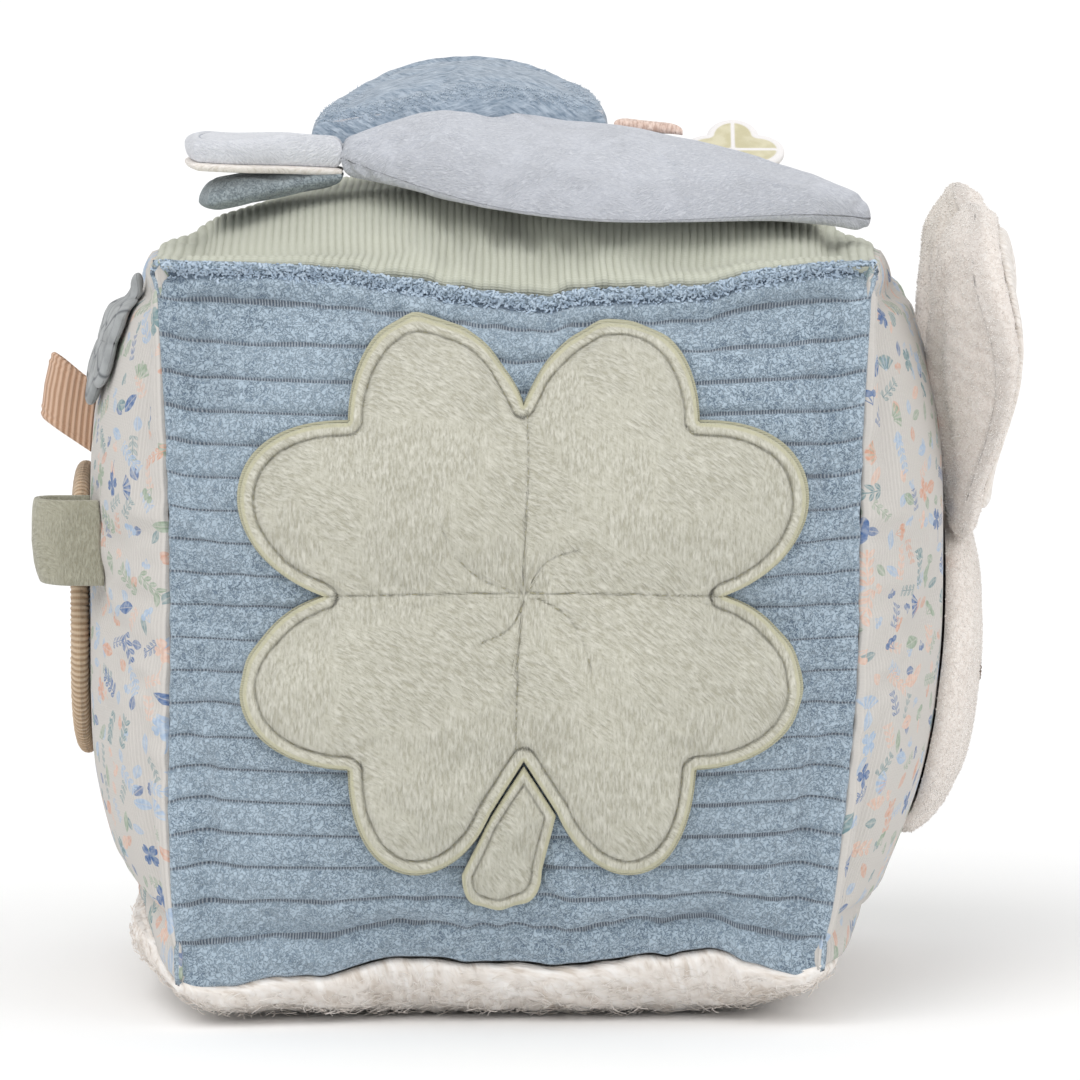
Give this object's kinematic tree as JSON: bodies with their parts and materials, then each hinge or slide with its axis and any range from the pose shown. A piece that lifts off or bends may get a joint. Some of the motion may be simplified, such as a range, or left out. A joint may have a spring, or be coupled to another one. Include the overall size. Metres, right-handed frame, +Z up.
{
  "type": "soft fabric activity block",
  "caption": "Stuffed fabric cube for a baby, with a padded clover, a bird with loose wings and tail, a rabbit head with floppy ears, a mirror, ribbon loops and patches.",
  "frame": {"origin": "middle of the flat resting area under the bottom panel", "axes": "+Z up, the clover panel faces -Y, the rabbit panel faces +X"},
  "size_m": [0.2157, 0.1843, 0.2052],
  "materials": {
    "blue_plush": "matte",
    "sage_rib": "matte",
    "printed_cotton": "matte",
    "sherpa": "matte",
    "stuffing": "matte",
    "case_plastic": "gloss",
    "bead_plastic": "gloss",
    "sage_felt": "matte",
    "sage_velour": "matte",
    "tan_rib": "matte",
    "mirror_film": "polished",
    "terracotta_rib": "matte",
    "sage_loop": "matte",
    "grey_patch": "satin",
    "cream_velour": "matte",
    "light_velour": "matte",
    "coral_velour": "matte",
    "dark_plush": "matte",
    "olive_patch": "satin"
  },
  "bodies": {
    "block": {"front_panel": "blue_plush", "back_panel": "sage_rib", "left_panel": "printed_cotton", "right_panel": "printed_cotton", "top_panel": "sage_rib", "bottom_panel": "sherpa", "stuffing_upper": "stuffing", "stuffing_lower": "stuffing", "rattle_case_upper": "case_plastic", "rattle_case_lower": "case_plastic", "clover_backing": "sage_felt", "clover_face": "sage_velour", "clover_stem": "sage_velour", "mirror_ring": "tan_rib", "mirror_film": "mirror_film", "ribbed_loop": "terracotta_rib", "velour_loop": "sage_loop", "rabbit_head": "sherpa", "bird_body": "light_velour"},
    "near_ear": {"near_ear": "sherpa", "near_ear_lining": "cream_velour"},
    "far_ear": {"far_ear": "sherpa", "far_ear_lining": "cream_velour"},
    "bird_wing": {"bird_wing": "blue_plush", "bird_wing_lining": "light_velour"},
    "coral_wing": {"bird_coral_wing": "coral_velour"},
    "tail_upper": {"bird_tail_top": "light_velour", "bird_tail_underside": "cream_velour"},
    "tail_lower": {"bird_tail_lower": "dark_plush"},
    "clover_patch": {"clover_patch": "olive_patch"},
    "flower_patch": {"flower_patch": "grey_patch"},
    "bead": {"rattle_bead": "bead_plastic"}
  },
  "joints": [
    {"name": "near_ear_fold", "type": "hinge", "parent": "block", "child": "near_ear", "pos_m": [0.101, -0.01371, 0.10436], "axis": [0, 0.9272, 0.3746], "range_deg": [0, 60], "stiffness_Nm_per_rad": 0.02},
    {"name": "far_ear_fold", "type": "hinge", "parent": "block", "child": "far_ear", "pos_m": [0.101, 0.01371, 0.10436], "axis": [0, 0.9272, -0.3746], "range_deg": [0, 60], "stiffness_Nm_per_rad": 0.02},
    {"name": "wing_lift", "type": "hinge", "parent": "block", "child": "bird_wing", "pos_m": [-0.0125, -0.022, 0.1923], "axis": [1, 0, 0], "range_deg": [-3, 60], "stiffness_Nm_per_rad": 0.02},
    {"name": "coral_wing_lift", "type": "hinge", "parent": "block", "child": "coral_wing", "pos_m": [0.0285, -0.022, 0.1921], "axis": [1, 0, 0], "range_deg": [-5, 60], "stiffness_Nm_per_rad": 0.01},
    {"name": "tail_upper_flap", "type": "hinge", "parent": "block", "child": "tail_upper", "pos_m": [-0.0383, -0.035, 0.1865], "axis": [0, 1, 0], "range_deg": [-3, 25], "stiffness_Nm_per_rad": 0.01},
    {"name": "tail_lower_flap", "type": "hinge", "parent": "block", "child": "tail_lower", "pos_m": [-0.0383, -0.035, 0.1791], "axis": [0, 1, 0], "range_deg": [-2, 8], "stiffness_Nm_per_rad": 0.01},
    {"name": "flower_flap", "type": "hinge", "parent": "block", "child": "flower_patch", "pos_m": [-0.0822, -0.036, 0.1612], "axis": [0, 1, 0], "range_deg": [0, 60], "stiffness_Nm_per_rad": 0.01},
    {"name": "clover_patch_flap", "type": "hinge", "parent": "block", "child": "clover_patch", "pos_m": [0.048, 0.0028, 0.1766], "axis": [1, 0, 0], "range_deg": [-20, 35], "stiffness_Nm_per_rad": 0.01},
    {"name": "bead_travel", "type": "slide", "parent": "block", "child": "bead", "axis": [0, 0, 1], "range_m": [0, 0.0216]}
  ]
}
